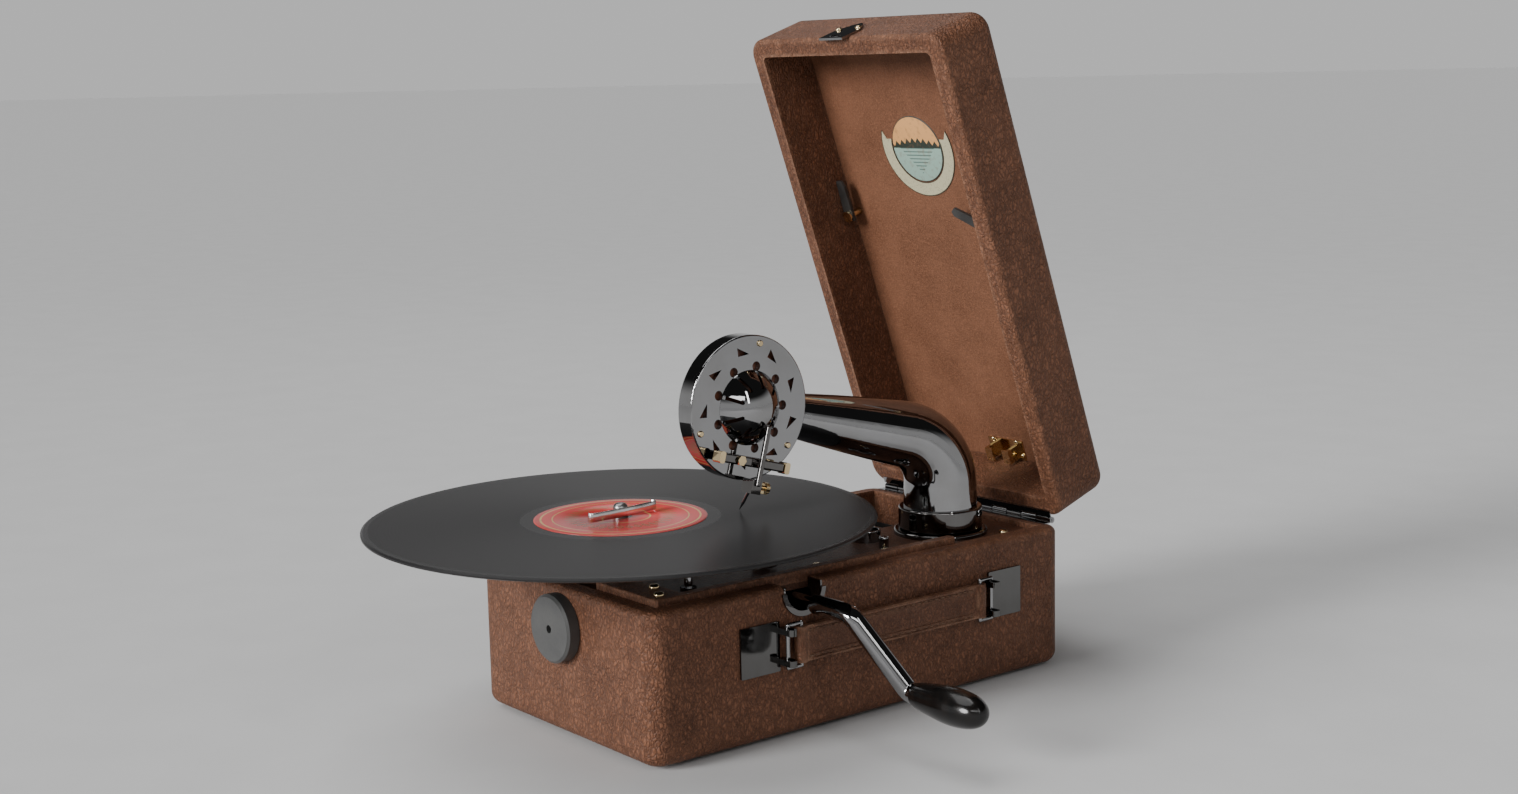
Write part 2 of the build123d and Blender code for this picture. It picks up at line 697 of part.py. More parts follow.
with BuildPart() as needle:
    with BuildSketch(Plane(needle_tip - needle_axis * 5, z_dir=needle_axis)):
        Circle(0.8)
    extrude(amount=-((needle_tip - needle_top).length - 5))
    with BuildSketch(Plane(needle_tip - needle_axis * 5, z_dir=needle_axis)):
        Circle(0.8)
    with BuildSketch(Plane(needle_tip, z_dir=needle_axis)):
        Circle(0.15)
    loft()

# thumb screw that clamps the needle, turning in the side of the chuck
thumb_plane = Plane(
    stylus_plane.from_local_coords((3.3, -37.4, pivot_height + 3)),
    x_dir=(1, 0, 0),
    z_dir=stylus_plane.x_dir,
)
with BuildPart() as needle_screw:
    with BuildSketch(thumb_plane):
        Circle(1.3)
    extrude(amount=4)
    with BuildSketch(thumb_plane.offset(4)):
        Circle(3)
        with PolarLocations(3, 12):
            Circle(0.35, mode=Mode.SUBTRACT)
    extrude(amount=2.4)

# ---------------------------------------------------------------- lid
lid_inner_bottom = 10.7
lid_inner_top = case_length - wall
with BuildPart() as lid_shell:
    with BuildSketch(lid_plane.offset(-lid_depth)):
        with Locations((0, half_length)):
            RectangleRounded(case_width, case_length, corner_radius)
    extrude(amount=lid_depth)
    fillet(lid_shell.faces().sort_by(Axis(lid_plane.origin, lid_plane.z_dir))[0].edges(), 6.5)
    fillet(lid_shell.faces().sort_by(Axis(lid_plane.origin, lid_plane.z_dir))[-1].edges(), 2.5)
    with BuildSketch(lid_plane.offset(-lid_panel_depth)):
        with Locations((0, (lid_inner_bottom + lid_inner_top) / 2)):
            RectangleRounded(2 * inner_half_width, lid_inner_top - lid_inner_bottom, 3)
    extrude(amount=lid_depth, mode=Mode.SUBTRACT)

lid_face_z = -lid_panel_depth + 1.2
with BuildPart() as lid_panel:
    with BuildSketch(lid_plane.offset(-lid_panel_depth)):
        with Locations((0, (lid_inner_bottom + lid_inner_top) / 2)):
            RectangleRounded(2 * inner_half_width - 0.6, lid_inner_top - lid_inner_bottom - 0.6, 2.6)
    extrude(amount=1.2)

# pointed hasp plate lying on the front wall of the lid
hasp_plane = Plane(
    lid_plane.from_local_coords((-1, case_length, 0)),
    x_dir=(1, 0, 0),
    z_dir=lid_plane.y_dir,
)
with BuildPart() as lock_hasp:
    with BuildSketch(hasp_plane):
        with BuildLine():
            Polyline((-9, -3.8), (9, -3.8), (9, 9), (3, 17.5), (0, 19.6), (-3, 17.5), (-9, 9), close=True)
        make_face()
        with Locations((0, -0.6)):
            SlotOverall(8, 2.2, mode=Mode.SUBTRACT)
    extrude(amount=1.2)

# brass spring clip near the hinge that holds the crank when the case is carried
with BuildPart() as crank_clip:
    with BuildSketch(lid_plane.offset(lid_face_z)):
        with Locations((10, 17.2)):
            Rectangle(26, 12)
    extrude(amount=0.8)
    with BuildSketch(lid_plane.offset(lid_face_z)):
        with Locations((1, 16), (17, 16)):
            Rectangle(2, 8)
    extrude(amount=8)
    with BuildSketch(lid_plane.offset(lid_face_z + 7)):
        with Locations((3.4, 16), (14.6, 16)):
            Rectangle(3.4, 8)
    extrude(amount=1)

lid_screw_places = [(1, 22.2), (19, 22.2), (21.4, 14)]
lid_screw_head = domed_screw(1.7, 1.1)
with BuildPart() as lid_screws:
    for u, v in lid_screw_places:
        with Locations(lid_plane.offset(lid_face_z + 0.8).location * Location((u, v, 0))):
            add(lid_screw_head)
    for u, v in [(-7, 9), (5.6, 11.5)]:
        with Locations(hasp_plane.offset(1.2).location * Location((u, v, 0))):
            add(lid_screw_head)

clip_height = 7.0
clip_pivots = {"left": (-60.2, 157.7), "right": (60.2, 148)}
clip_top_z = lid_face_z + clip_height
with BuildPart() as clip_posts:
    for place in clip_pivots.values():
        with BuildSketch(lid_plane.offset(lid_face_z)):
            with Locations(place):
                Circle(2)
        extrude(amount=clip_height + 2.4)
        with BuildSketch(lid_plane.offset(clip_top_z + 1.9)):
            with Locations(place):
                Circle(3.2)
        extrude(amount=1.2)

with BuildPart() as record_clip_left:
    with BuildSketch(lid_plane.offset(clip_top_z)):
        with BuildLine():
            Polyline((-64, 155), (-56.4, 155), (-57.4, 175), (-59, 178.5), (-63, 178.5), close=True)
        make_face()
        with Locations(clip_pivots["left"]):
            Circle(2.06, mode=Mode.SUBTRACT)
    extrude(amount=1.6)

with BuildPart() as record_clip_right:
    with BuildSketch(lid_plane.offset(clip_top_z)):
        with BuildLine():
            Polyline((63, 145), (63, 151), (58, 154), (27, 166), (24.6, 164), (25.6, 161.4), close=True)
        make_face()
        with Locations(clip_pivots["right"]):
            Circle(2.06, mode=Mode.SUBTRACT)
    extrude(amount=1.6)

# ---------------------------------------------------------------- piano hinge
knuckle_count = 12
knuckle_pitch = 11.0
knuckle_radius = 1.7
knuckle_bore = 0.85
knuckle_starts = [-66 + knuckle_pitch * index for index in range(knuckle_count)]
hinge_plane = Plane.YZ
with BuildPart() as case_hinge_leaf:
    with BuildSketch(Plane.XY.offset(rim_z)):
        with Locations((0, 131.2)):
            Rectangle(132, 4.4)
    extrude(amount=0.5)
    for start in knuckle_starts[0::2]:
        with Locations((start + knuckle_pitch / 2, 134.2, rim_z)):
            Box(knuckle_pitch - 0.6, 2, 0.5, align=upright)
        with Locations(Location((start + 0.3, hinge_y, hinge_z), (0, 90, 0))):
            Cylinder(knuckle_radius, knuckle_pitch - 0.6, align=upright)
    with Locations(Location((0, hinge_y, hinge_z), (0, 90, 0))):
        Cylinder(knuckle_bore, 140, mode=Mode.SUBTRACT)

with BuildPart() as lid_hinge_leaf:
    with BuildSketch(lid_plane):
        with Locations((0, 1.8)):
            Rectangle(132, 3.6)
    extrude(amount=0.5)
    with BuildSketch(lid_plane):
        with Locations([(start + knuckle_pitch / 2, -0.6) for start in knuckle_starts[1::2]]):
            Rectangle(knuckle_pitch - 0.6, 2)
    extrude(amount=0.5)
    for start in knuckle_starts[1::2]:
        with Locations(Location((start + 0.3, hinge_y, hinge_z), (0, 90, 0))):
            Cylinder(knuckle_radius, knuckle_pitch - 0.6, align=upright)
    with Locations(Location((0, hinge_y, hinge_z), (0, 90, 0))):
        Cylinder(knuckle_bore, 140, mode=Mode.SUBTRACT)

with BuildPart() as hinge_pin:
    with Locations(Location((-66, hinge_y, hinge_z), (0, 90, 0))):
        Cylinder(knuckle_bore - 0.05, 132, align=upright)

# ---------------------------------------------------------------- lock
lock_z = 56.2
with BuildPart() as lock_bush:
    with BuildSketch(Plane.XZ.offset(half_length)):
        with Locations((0, lock_z)):
            Circle(6)
            Circle(3.05, mode=Mode.SUBTRACT)
    extrude(amount=-wall)

with BuildPart() as lock_knob:
    with BuildSketch(Plane.XZ.offset(half_length + gap)):
        with Locations((0, lock_z)):
            Circle(16.8)
    extrude(amount=6.6)
    chamfer(lock_knob.edges().group_by(Axis.Y)[0], 1.2)
    with Locations(Location((0, -half_length - gap - 6.6, lock_z), (90, 0, 0))):
        Cylinder(2, 6, mode=Mode.SUBTRACT)

with BuildPart() as lock_spindle:
    with BuildSketch(Plane.XZ.offset(half_length + gap)):
        with Locations((0, lock_z)):
            Circle(3)
    extrude(amount=-(wall + 3.2))
    with Locations((0, -122.6, lock_z - 4)):
        Box(8, 1.8, 17, align=upright)

# ---------------------------------------------------------------- carrying handle
handle_z = 48.0
bar_x = 79.3
bar_travel = 3.0
bar_radius = 1.1
loop_half_height = 10.4
knuckle_places = [-58.6, 76.0]
strap_bar_places = [-50.5, 68.0]
plate_spans = [(-84.0, -60.6), (78.0, 101.0)]
slot_middle_x = bar_x + bar_travel / 2
with BuildPart() as handle_plates:
    for low, high in plate_spans:
        with BuildSketch(Plane.YZ.offset(half_width)):
            with Locations(((low + high) / 2, handle_z)):
                RectangleRounded(high - low, 24.5, 0.5)
        extrude(amount=1.2)
    for y in knuckle_places:
        for z in (handle_z - 9, handle_z + 6):
            with BuildSketch(Plane.XY.offset(z)):
                with Locations(((half_width + slot_middle_x + 3.9) / 2, y)):
                    RectangleRounded(slot_middle_x + 3.9 - half_width, 4.8, 2.2)
            extrude(amount=3)
        with BuildSketch(Plane.XY.offset(handle_z - 9.2)):
            with Locations((slot_middle_x, y)):
                SlotOverall(bar_travel + 2 * bar_radius + 0.7, 2 * bar_radius + 0.6)
        extrude(amount=18.4, mode=Mode.SUBTRACT)

with BuildPart() as handle_loops:
    for outer, inner in zip(knuckle_places, strap_bar_places):
        middle = (outer + inner) / 2
        for y in (outer, inner):
            with Locations((bar_x, y, handle_z)):
                Cylinder(bar_radius, 2 * loop_half_height)
        for z in (handle_z - loop_half_height, handle_z + loop_half_height):
            with Locations(Location((bar_x, middle, z), (90, 0, 0))):
                Cylinder(bar_radius, abs(outer - inner))
            with Locations((bar_x, outer, z), (bar_x, inner, z)):
                Sphere(bar_radius)

with BuildPart() as handle_strap:
    with BuildSketch(Plane.XY.offset(handle_z - 8.75)):
        with Locations((bar_x, sum(strap_bar_places) / 2)):
            Rectangle(3, strap_bar_places[1] - strap_bar_places[0] - 2)
        with Locations((bar_x, strap_bar_places[0]), (bar_x, strap_bar_places[1])):
            Circle(3.2)
            Circle(bar_radius + 0.02, mode=Mode.SUBTRACT)
    extrude(amount=17.5)
    # stitched edge welts along the outer face
    strap_middle_y = sum(strap_bar_places) / 2
    for z in (handle_z - 7.9, handle_z - 5.9, handle_z + 5.9, handle_z + 7.9):
        with Locations((bar_x + 1.5, strap_middle_y, z)):
            Box(1.4, strap_bar_places[1] - strap_bar_places[0] - 12, 0.9)

# ---------------------------------------------------------------- export
pieces = {
    "case_shell": case_shell,
    "rubber_feet": rubber_feet,
    "deck_board": deck_board,
    "deck_surround": deck_surround,
    "deck_screws": deck_screws,
    "sound_horn": sound_horn,
    "crank_escutcheon": crank_escutcheon,
    "crank_bearing": crank_bearing,
    "motor_top_plate": motor_top_plate,
    "motor_bottom_plate": motor_bottom_plate,
    "motor_pillars": motor_pillars,
    "governor_bracket": governor_bracket,
    "tonearm_flange": tonearm_flange,
    "case_hinge_leaf": case_hinge_leaf,
    "hinge_pin": hinge_pin,
    "lock_bush": lock_bush,
    "handle_plates": handle_plates,
    "needle_cup": needle_cup,
    "arm_rest_post": arm_rest_post,
    "turntable_spindle": turntable_spindle,
    "platter": platter,
    "platter_felt": platter_felt,
    "record": record,
    "spring_barrel": spring_barrel,
    "mainspring": mainspring,
    "winding_arbor": winding_arbor,
    "intermediate_wheel": intermediate_wheel,
    "governor_shaft": governor_shaft,
    "governor_weights": governor_weights,
    "brake_lever": brake_lever,
    "brake_pad": brake_pad,
    "speed_lever": speed_lever,
    "crank_shaft": crank_shaft,
    "crank_arm": crank_arm,
    "crank_grip": crank_grip,
    "tonearm_tube": tonearm_tube,
    "tonearm_collar": tonearm_collar,
    "soundbox_neck": soundbox_neck,
    "soundbox_casing": soundbox_casing,
    "soundbox_face": soundbox_face,
    "diaphragm": diaphragm,
    "soundbox_dome": soundbox_dome,
    "soundbox_screws": soundbox_screws,
    "stylus_pivot": stylus_pivot,
    "stylus_bar": stylus_bar,
    "needle": needle,
    "needle_screw": needle_screw,
    "lid_shell": lid_shell,
    "lid_panel": lid_panel,
    "lock_hasp": lock_hasp,
    "crank_clip": crank_clip,
    "lid_screws": lid_screws,
    "clip_posts": clip_posts,
    "lid_hinge_leaf": lid_hinge_leaf,
    "record_clip_left": record_clip_left,
    "record_clip_right": record_clip_right,
    "handle_loops": handle_loops,
    "handle_strap": handle_strap,
    "lock_knob": lock_knob,
    "lock_spindle": lock_spindle,
}
for name, piece in pieces.items():
    piece.part.label = name
    export_step(piece.part, f"parts/{name}.step")
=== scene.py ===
"""Looks of the portable wind-up phonograph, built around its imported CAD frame."""

import json
import math
import random

import bmesh
import bpy
from mathutils import Matrix, Vector


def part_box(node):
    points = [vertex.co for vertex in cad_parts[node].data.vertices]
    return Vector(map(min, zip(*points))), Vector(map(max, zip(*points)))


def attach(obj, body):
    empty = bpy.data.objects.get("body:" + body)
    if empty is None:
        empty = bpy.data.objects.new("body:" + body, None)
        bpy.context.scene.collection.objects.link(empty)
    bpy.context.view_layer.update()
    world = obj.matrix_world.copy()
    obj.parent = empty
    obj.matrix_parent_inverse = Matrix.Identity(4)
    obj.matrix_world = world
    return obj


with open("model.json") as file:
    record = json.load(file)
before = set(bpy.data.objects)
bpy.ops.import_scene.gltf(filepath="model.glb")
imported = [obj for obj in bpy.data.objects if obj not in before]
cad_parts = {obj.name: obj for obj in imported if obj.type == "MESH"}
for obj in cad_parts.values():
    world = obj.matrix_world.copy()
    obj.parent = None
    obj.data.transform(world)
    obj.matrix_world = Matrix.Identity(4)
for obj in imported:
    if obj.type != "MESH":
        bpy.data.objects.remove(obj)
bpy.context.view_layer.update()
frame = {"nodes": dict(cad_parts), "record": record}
random.seed(7)
MM = 0.001


# ---------------------------------------------------------------- node helpers
class Surface:
    """A node material under construction, with short ways to add and join nodes."""

    def __init__(self, name):
        self.material = bpy.data.materials.new(name)
        self.material.use_nodes = True
        self.tree = self.material.node_tree
        self.shader = self.tree.nodes["Principled BSDF"]
        self.coords = self.tree.nodes.new("ShaderNodeTexCoord").outputs["Object"]

    def add(self, kind, inputs=None, **settings):
        node = self.tree.nodes.new(kind)
        for key, value in settings.items():
            setattr(node, key, value)
        for key, value in (inputs or {}).items():
            if isinstance(value, bpy.types.NodeSocket):
                self.tree.links.new(value, node.inputs[key])
            else:
                node.inputs[key].default_value = value
        return node

    def set(self, **inputs):
        for key, value in inputs.items():
            socket = self.shader.inputs[key.replace("_", " ")]
            if isinstance(value, bpy.types.NodeSocket):
                self.tree.links.new(value, socket)
            else:
                socket.default_value = value

    def shifted(self, place, turn=(0, 0, 0), scale=(1, 1, 1)):
        move = self.add("ShaderNodeVectorMath", {0: self.coords, 1: place}, operation="SUBTRACT")
        node = self.add("ShaderNodeMapping", {"Vector": move.outputs[0], "Rotation": turn, "Scale": scale})
        return node.outputs[0]

    def noise(self, size, detail=4.0, roughness=0.5, vector=None):
        vector = vector or self.coords
        inputs = {"Vector": vector, "Scale": 1 / size, "Detail": detail, "Roughness": roughness}
        return self.add("ShaderNodeTexNoise", inputs).outputs["Fac"]

    def cells(self, size, feature="F1", vector=None):
        vector = vector or self.coords
        inputs = {"Vector": vector, "Scale": 1 / size}
        return self.add("ShaderNodeTexVoronoi", inputs, feature=feature).outputs["Distance"]

    def math(self, operation, a, b=0.0, c=0.0):
        return self.add("ShaderNodeMath", {0: a, 1: b, 2: c}, operation=operation).outputs[0]

    def spread(self, value, low, high, to_low, to_high):
        inputs = {"Value": value, "From Min": low, "From Max": high, "To Min": to_low, "To Max": to_high}
        return self.add("ShaderNodeMapRange", inputs).outputs[0]

    def mix(self, factor, a, b):
        node = self.add("ShaderNodeMix", {"Factor": factor}, data_type="RGBA")
        for socket, value in ((node.inputs[6], a), (node.inputs[7], b)):
            if isinstance(value, bpy.types.NodeSocket):
                self.tree.links.new(value, socket)
            else:
                socket.default_value = (*value, 1)
        return node.outputs[2]

    def bump(self, height, distance, strength=1.0):
        node = self.add("ShaderNodeBump", {"Height": height, "Distance": distance, "Strength": strength})
        self.set(Normal=node.outputs[0])
        return node

    def edges(self, radius):
        """Close to 1 on convex and concave edges, 0 on flats."""
        soft = self.add("ShaderNodeBevel", {"Radius": radius}, samples=4).outputs[0]
        hard = self.add("ShaderNodeNewGeometry").outputs["Normal"]
        dot = self.add("ShaderNodeVectorMath", {0: soft, 1: hard}, operation="DOT_PRODUCT").outputs["Value"]
        return self.spread(dot, 1.0, 0.86, 0.0, 1.0)


def leather(name, dark, light, grain, depth, rough, worn=None, crease_shade=0.6):
    """Grained leather or leatherette: long wrinkles with painted shade in the creases, blotchy colour,
    scuffed edges.
    """
    s = Surface(name)
    long = s.shifted((0, 0, 0), scale=(1, 1, 0.6))
    swirl = {"Vector": long, "Scale": 0.5 / grain, "Detail": 3.0}
    sway = s.add("ShaderNodeTexNoise", swirl).outputs["Color"]
    pull = s.add("ShaderNodeVectorMath", {0: sway, "Scale": grain * 2.2}, operation="SCALE").outputs[0]
    warped = s.add("ShaderNodeVectorMath", {0: long, 1: pull}, operation="ADD").outputs[0]
    crease = s.spread(s.cells(grain, "DISTANCE_TO_EDGE", warped), 0.0, 0.25, 0.0, 1.0)
    fold = s.spread(s.cells(grain * 3.1, "DISTANCE_TO_EDGE", warped), 0.0, 0.12, 0.0, 1.0)
    fine = s.noise(grain * 0.6, 4, 0.65)
    blotch = s.noise(0.03, 7, 0.68)
    colour = s.mix(s.spread(blotch, 0.38, 0.62, 0, 1), dark, light)
    colour = s.mix(s.spread(fine, 0.42, 0.66, 0.0, 0.7), colour, tuple(min(1, c * 1.5) for c in light))
    # painted shade: the colour is darkened along the creases and folds, where shade falls inside the
    # wrinkles
    groove = s.math("MINIMUM", crease, fold)
    colour = s.mix(s.spread(groove, 0.0, 1.0, crease_shade, 0.0), colour, tuple(c * 0.3 for c in dark))
    if worn:
        rub = s.math("MULTIPLY", s.edges(0.004), s.spread(s.noise(0.006, 4), 0.38, 0.62, 0.1, 0.75))
        colour = s.mix(rub, colour, worn)
    s.set(
        Base_Color=colour,
        Roughness=s.spread(fine, 0.3, 0.7, rough - 0.07, rough + 0.08),
        Specular_IOR_Level=0.22,
    )
    height = s.math("MULTIPLY_ADD", fine, 0.5, s.math("MULTIPLY_ADD", fold, 0.4, crease))
    s.bump(height, depth, 1.0)
    return s.material


def metal(name, colour, rough, tarnish=None, scratch=0.004, depth=0.00002):
    """Plated or plain metal with smudges, hairline marks and a little tarnish."""
    s = Surface(name)
    smudge = s.noise(0.018, 5)
    fine = s.noise(scratch, 6, 0.7)
    tint = tarnish or tuple(c * 0.8 for c in colour)
    s.set(
        Base_Color=s.mix(s.spread(smudge, 0.45, 0.75, 0.0, 0.6), colour, tint),
        Metallic=1.0,
        Roughness=s.spread(s.math("ADD", smudge, fine), 0.7, 1.3, rough * 0.75, rough * 1.5),
    )
    s.bump(fine, depth, 0.35)
    return s.material


def plain(name, dark, light, rough, size, depth, coat=0.0):
    """Paint, rubber, felt or lacquer with its own fine texture."""
    s = Surface(name)
    tone = s.noise(size * 12, 4)
    fine = s.noise(size, 4, 0.65)
    s.set(
        Base_Color=s.mix(s.spread(tone, 0.35, 0.65, 0, 1), dark, light),
        Roughness=s.spread(fine, 0.3, 0.7, rough - 0.05, rough + 0.08),
        Coat_Weight=coat,
        Coat_Roughness=0.08,
    )
    s.bump(fine, depth, 0.7)
    return s.material


def turned_wood(name, dark, light, axis_turn):
    """Lacquered turned wood whose grain runs along the grip."""
    s = Surface(name)
    vector = s.shifted((0, 0, 0), axis_turn, (1, 1, 0.08))
    ring = s.noise(0.004, 6, 0.6, vector)
    s.set(
        Base_Color=s.mix(s.spread(ring, 0.35, 0.7, 0, 1), dark, light),
        Roughness=s.spread(s.noise(0.01, 4), 0.3, 0.7, 0.16, 0.3),
        Specular_IOR_Level=0.3,
        Coat_Weight=0.3,
        Coat_Roughness=0.05,
    )
    s.bump(ring, 0.00002, 0.4)
    return s.material


def groove_disc(name, centre):
    """Pressed shellac: fine grooves with a few wider bands, between the label and the smooth rim."""
    s = Surface(name)
    vector = s.shifted(centre)
    flat = s.add("ShaderNodeVectorMath", {0: vector, 1: (1, 1, 0)}, operation="MULTIPLY").outputs[0]
    radius = s.add("ShaderNodeVectorMath", {0: flat}, operation="LENGTH").outputs["Value"]
    groove_pitch, first_groove, last_groove = 0.0008, 0.049, 0.1215
    fine = s.math("SINE", s.math("MULTIPLY", radius, 2 * math.pi / groove_pitch))
    across = {"W": s.math("MULTIPLY", radius, 420.0), "Detail": 5.0}
    wobble = s.add("ShaderNodeTexNoise", across, noise_dimensions="1D").outputs["Fac"]
    past_first = s.math("GREATER_THAN", radius, first_groove)
    before_last = s.math("LESS_THAN", radius, last_groove)
    inside = s.math("MULTIPLY", past_first, before_last)
    height = s.math("MULTIPLY", s.math("MULTIPLY_ADD", fine, 0.35, wobble), inside)
    s.set(
        Base_Color=s.mix(wobble, (0.012, 0.012, 0.013), (0.03, 0.029, 0.029)),
        Roughness=s.math("MULTIPLY_ADD", s.math("MULTIPLY", wobble, inside), 0.1, 0.27),
        Anisotropic=0.4,
        Specular_IOR_Level=0.12,
    )
    s.set(Tangent=s.add("ShaderNodeTangent", direction_type="RADIAL", axis="Z").outputs[0])
    s.bump(height, 0.000008, 0.5)
    return s.material


def ringed(name, bands, rough, spokes, band_of_spokes, spoke_colour):
    """Rings and a ring of leaves printed on a disc in its XY plane; bands holds (outer radius, colour)."""
    s = Surface(name)
    flat = s.add("ShaderNodeVectorMath", {0: s.coords, 1: (1, 1, 0)}, operation="MULTIPLY").outputs[0]
    radius = s.add("ShaderNodeVectorMath", {0: flat}, operation="LENGTH").outputs["Value"]
    colour = bands[-1][1]
    for outer, paint in reversed(bands[:-1]):
        colour = s.mix(s.math("LESS_THAN", radius, outer), colour, paint)
    xyz = s.add("ShaderNodeSeparateXYZ", {0: s.coords}).outputs
    angle = s.math("ARCTAN2", xyz[1], xyz[0])
    petal = s.math("SINE", s.math("MULTIPLY", angle, float(spokes)))
    middle = (band_of_spokes[0] + band_of_spokes[1]) / 2
    half = (band_of_spokes[1] - band_of_spokes[0]) / 2
    reach = s.math("MULTIPLY", s.math("ABSOLUTE", petal), half)
    away = s.math("ABSOLUTE", s.math("SUBTRACT", radius, middle))
    colour = s.mix(s.math("LESS_THAN", away, s.math("MULTIPLY", reach, 0.7)), colour, spoke_colour)
    wear = s.spread(s.noise(0.006, 6), 0.55, 0.75, 0, 0.35)
    s.set(Base_Color=s.mix(wear, colour, (0.12, 0.09, 0.07)), Roughness=rough)
    s.bump(s.noise(0.002, 5), 0.00003, 0.5)
    return s.material


# ---------------------------------------------------------------- materials by slot
spindle_place = Vector(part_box("platter")[0]).lerp(Vector(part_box("platter")[1]), 0.5)
looks = {
    "leatherette": leather(
        "leatherette", (0.115, 0.047, 0.025), (0.205, 0.09, 0.05), 0.0019, 0.00028, 0.5, (0.32, 0.17, 0.105)
    ),
    "board_cloth": leather(
        "board_cloth", (0.075, 0.032, 0.018), (0.13, 0.056, 0.031), 0.0016, 0.00014, 0.42
    ),
    "lid_lining": leather(
        "lid_lining", (0.125, 0.052, 0.027), (0.185, 0.081, 0.044), 0.0014, 0.0001, 0.6, None, 0.15
    ),
    "strap_leather": leather(
        "strap_leather", (0.1, 0.041, 0.022), (0.17, 0.074, 0.041), 0.0015, 0.00015, 0.4, (0.36, 0.2, 0.125)
    ),
    "rubber": plain("rubber", (0.02, 0.02, 0.02), (0.035, 0.033, 0.03), 0.75, 0.0008, 0.00008),
    "brass": metal("brass", (0.75, 0.6, 0.36), 0.1, (0.5, 0.36, 0.18)),
    "nickel": metal("nickel", (0.33, 0.33, 0.334), 0.03, (0.28, 0.275, 0.27), depth=0.000002),
    "dark_nickel": metal("dark_nickel", (0.16, 0.155, 0.152), 0.05, (0.11, 0.1, 0.095), depth=0.000003),
    "steel": metal("steel", (0.3, 0.3, 0.3), 0.28, (0.2, 0.18, 0.16), 0.002),
    "spring_steel": metal("spring_steel", (0.16, 0.18, 0.24), 0.3),
    "horn_sheet": plain("horn_sheet", (0.012, 0.011, 0.01), (0.022, 0.02, 0.018), 0.55, 0.0012, 0.00006),
    "felt": plain("felt", (0.03, 0.07, 0.04), (0.06, 0.12, 0.07), 0.92, 0.0005, 0.0003),
    "shellac": groove_disc("shellac", tuple(spindle_place)),
    "wood_black": turned_wood(
        "wood_black", (0.003, 0.003, 0.003), (0.008, 0.006, 0.005), (0, math.pi / 2, 0)
    ),
    "mica": plain("mica", (0.09, 0.028, 0.015), (0.2, 0.07, 0.035), 0.4, 0.0012, 0.00006, 0.3),
    "lock_metal": plain("lock_metal", (0.055, 0.055, 0.055), (0.075, 0.075, 0.073), 0.42, 0.0016, 0.00002),
    "dark_steel": plain("dark_steel", (0.02, 0.019, 0.018), (0.04, 0.038, 0.036), 0.4, 0.001, 0.00004),
}
for entry in frame["record"]["subparts"]:
    node = frame["nodes"][entry["node"]]
    node.data.materials.clear()
    node.data.materials.append(looks[entry["material_slot"]])

plate_mirror = metal("plate_mirror", (0.14, 0.138, 0.135), 0.06, (0.1, 0.095, 0.09), depth=0.000003)
frame["nodes"]["handle_plates"].data.materials[0] = plate_mirror

# small rounded edges on the machined pieces, so that they catch the light
rounded_nodes = (
    "soundbox_face", "soundbox_casing", "soundbox_dome", "tonearm_flange", "lock_knob", "handle_strap",
    "handle_plates", "needle_cup", "record",
)
for name in rounded_nodes:
    bevel = frame["nodes"][name].modifiers.new("edge", "BEVEL")
    bevel.width = 0.0003
    bevel.segments = 2
    bevel.limit_method = "ANGLE"
    bevel.angle_limit = math.radians(40)
    bevel.harden_normals = True


# ---------------------------------------------------------------- mesh helpers
def add_mesh(name, build, material, body, place=None, smooth=True):
    """Makes an object from a bmesh builder, in its place and riding on its body."""
    mesh = bpy.data.meshes.new(name)
    work = bmesh.new()
    build(work)
    bmesh.ops.recalc_face_normals(work, faces=work.faces)
    work.to_mesh(mesh)
    work.free()
    for face in mesh.polygons:
        face.use_smooth = smooth
    obj = bpy.data.objects.new(name, mesh)
    bpy.context.scene.collection.objects.link(obj)
    if place is not None:
        obj.matrix_world = place
    mesh.materials.append(material)
    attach(obj, body)
    return obj


def lathe(profile, steps=96):
    """A builder that turns (radius, height) points about local Z."""

    def build(work):
        rings = []
        for radius, height in profile:
            if radius == 0:
                rings.append([work.verts.new((0, 0, height))])
                continue
            ring = []
            for step in range(steps):
                angle = 2 * math.pi * step / steps
                ring.append(work.verts.new((radius * math.cos(angle), radius * math.sin(angle), height)))
            rings.append(ring)
        for low, high in zip(rings, rings[1:]):
            for step in range(steps):
                after = (step + 1) % steps
                if len(low) == 1:
                    work.faces.new((low[0], high[step], high[after]))
                elif len(high) == 1:
                    work.faces.new((low[step], low[after], high[0]))
                else:
                    work.faces.new((low[step], low[after], high[after], high[step]))

    return build


def axes_at(origin, x_dir, z_dir):
    """The placement whose own X and Z point along the given directions."""
    x_dir, z_dir = Vector(x_dir).normalized(), Vector(z_dir).normalized()
    y_dir = z_dir.cross(x_dir)
    return Matrix.Translation(origin) @ Matrix((x_dir, y_dir, z_dir)).transposed().to_4x4()


# ---------------------------------------------------------------- record label
label_red = (0.62, 0.05, 0.045)
gold = (0.62, 0.42, 0.14)
label_look = ringed(
    "record_label_print",
    [(0.0055, (0.1, 0.02, 0.012)), (0.014, label_red), (0.0148, gold), (0.0330, label_red), (0.0336, gold),
     (0.0385, label_red), (0.0394, gold), (0.05, (0.5, 0.045, 0.04))],
    0.25, 18, (0.0185, 0.0295), (0.45, 0.1, 0.05),
)
record_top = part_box("record")[1][2]
label_place = Matrix.Translation((spindle_place.x, spindle_place.y, record_top))
add_mesh(
    "record_label",
    lathe([(0.00372, 0.00005), (0.00372, 0.00022), (0.0416, 0.00022), (0.0424, 0.0001), (0.0424, 0.0)]),
    label_look, "turntable", label_place,
)


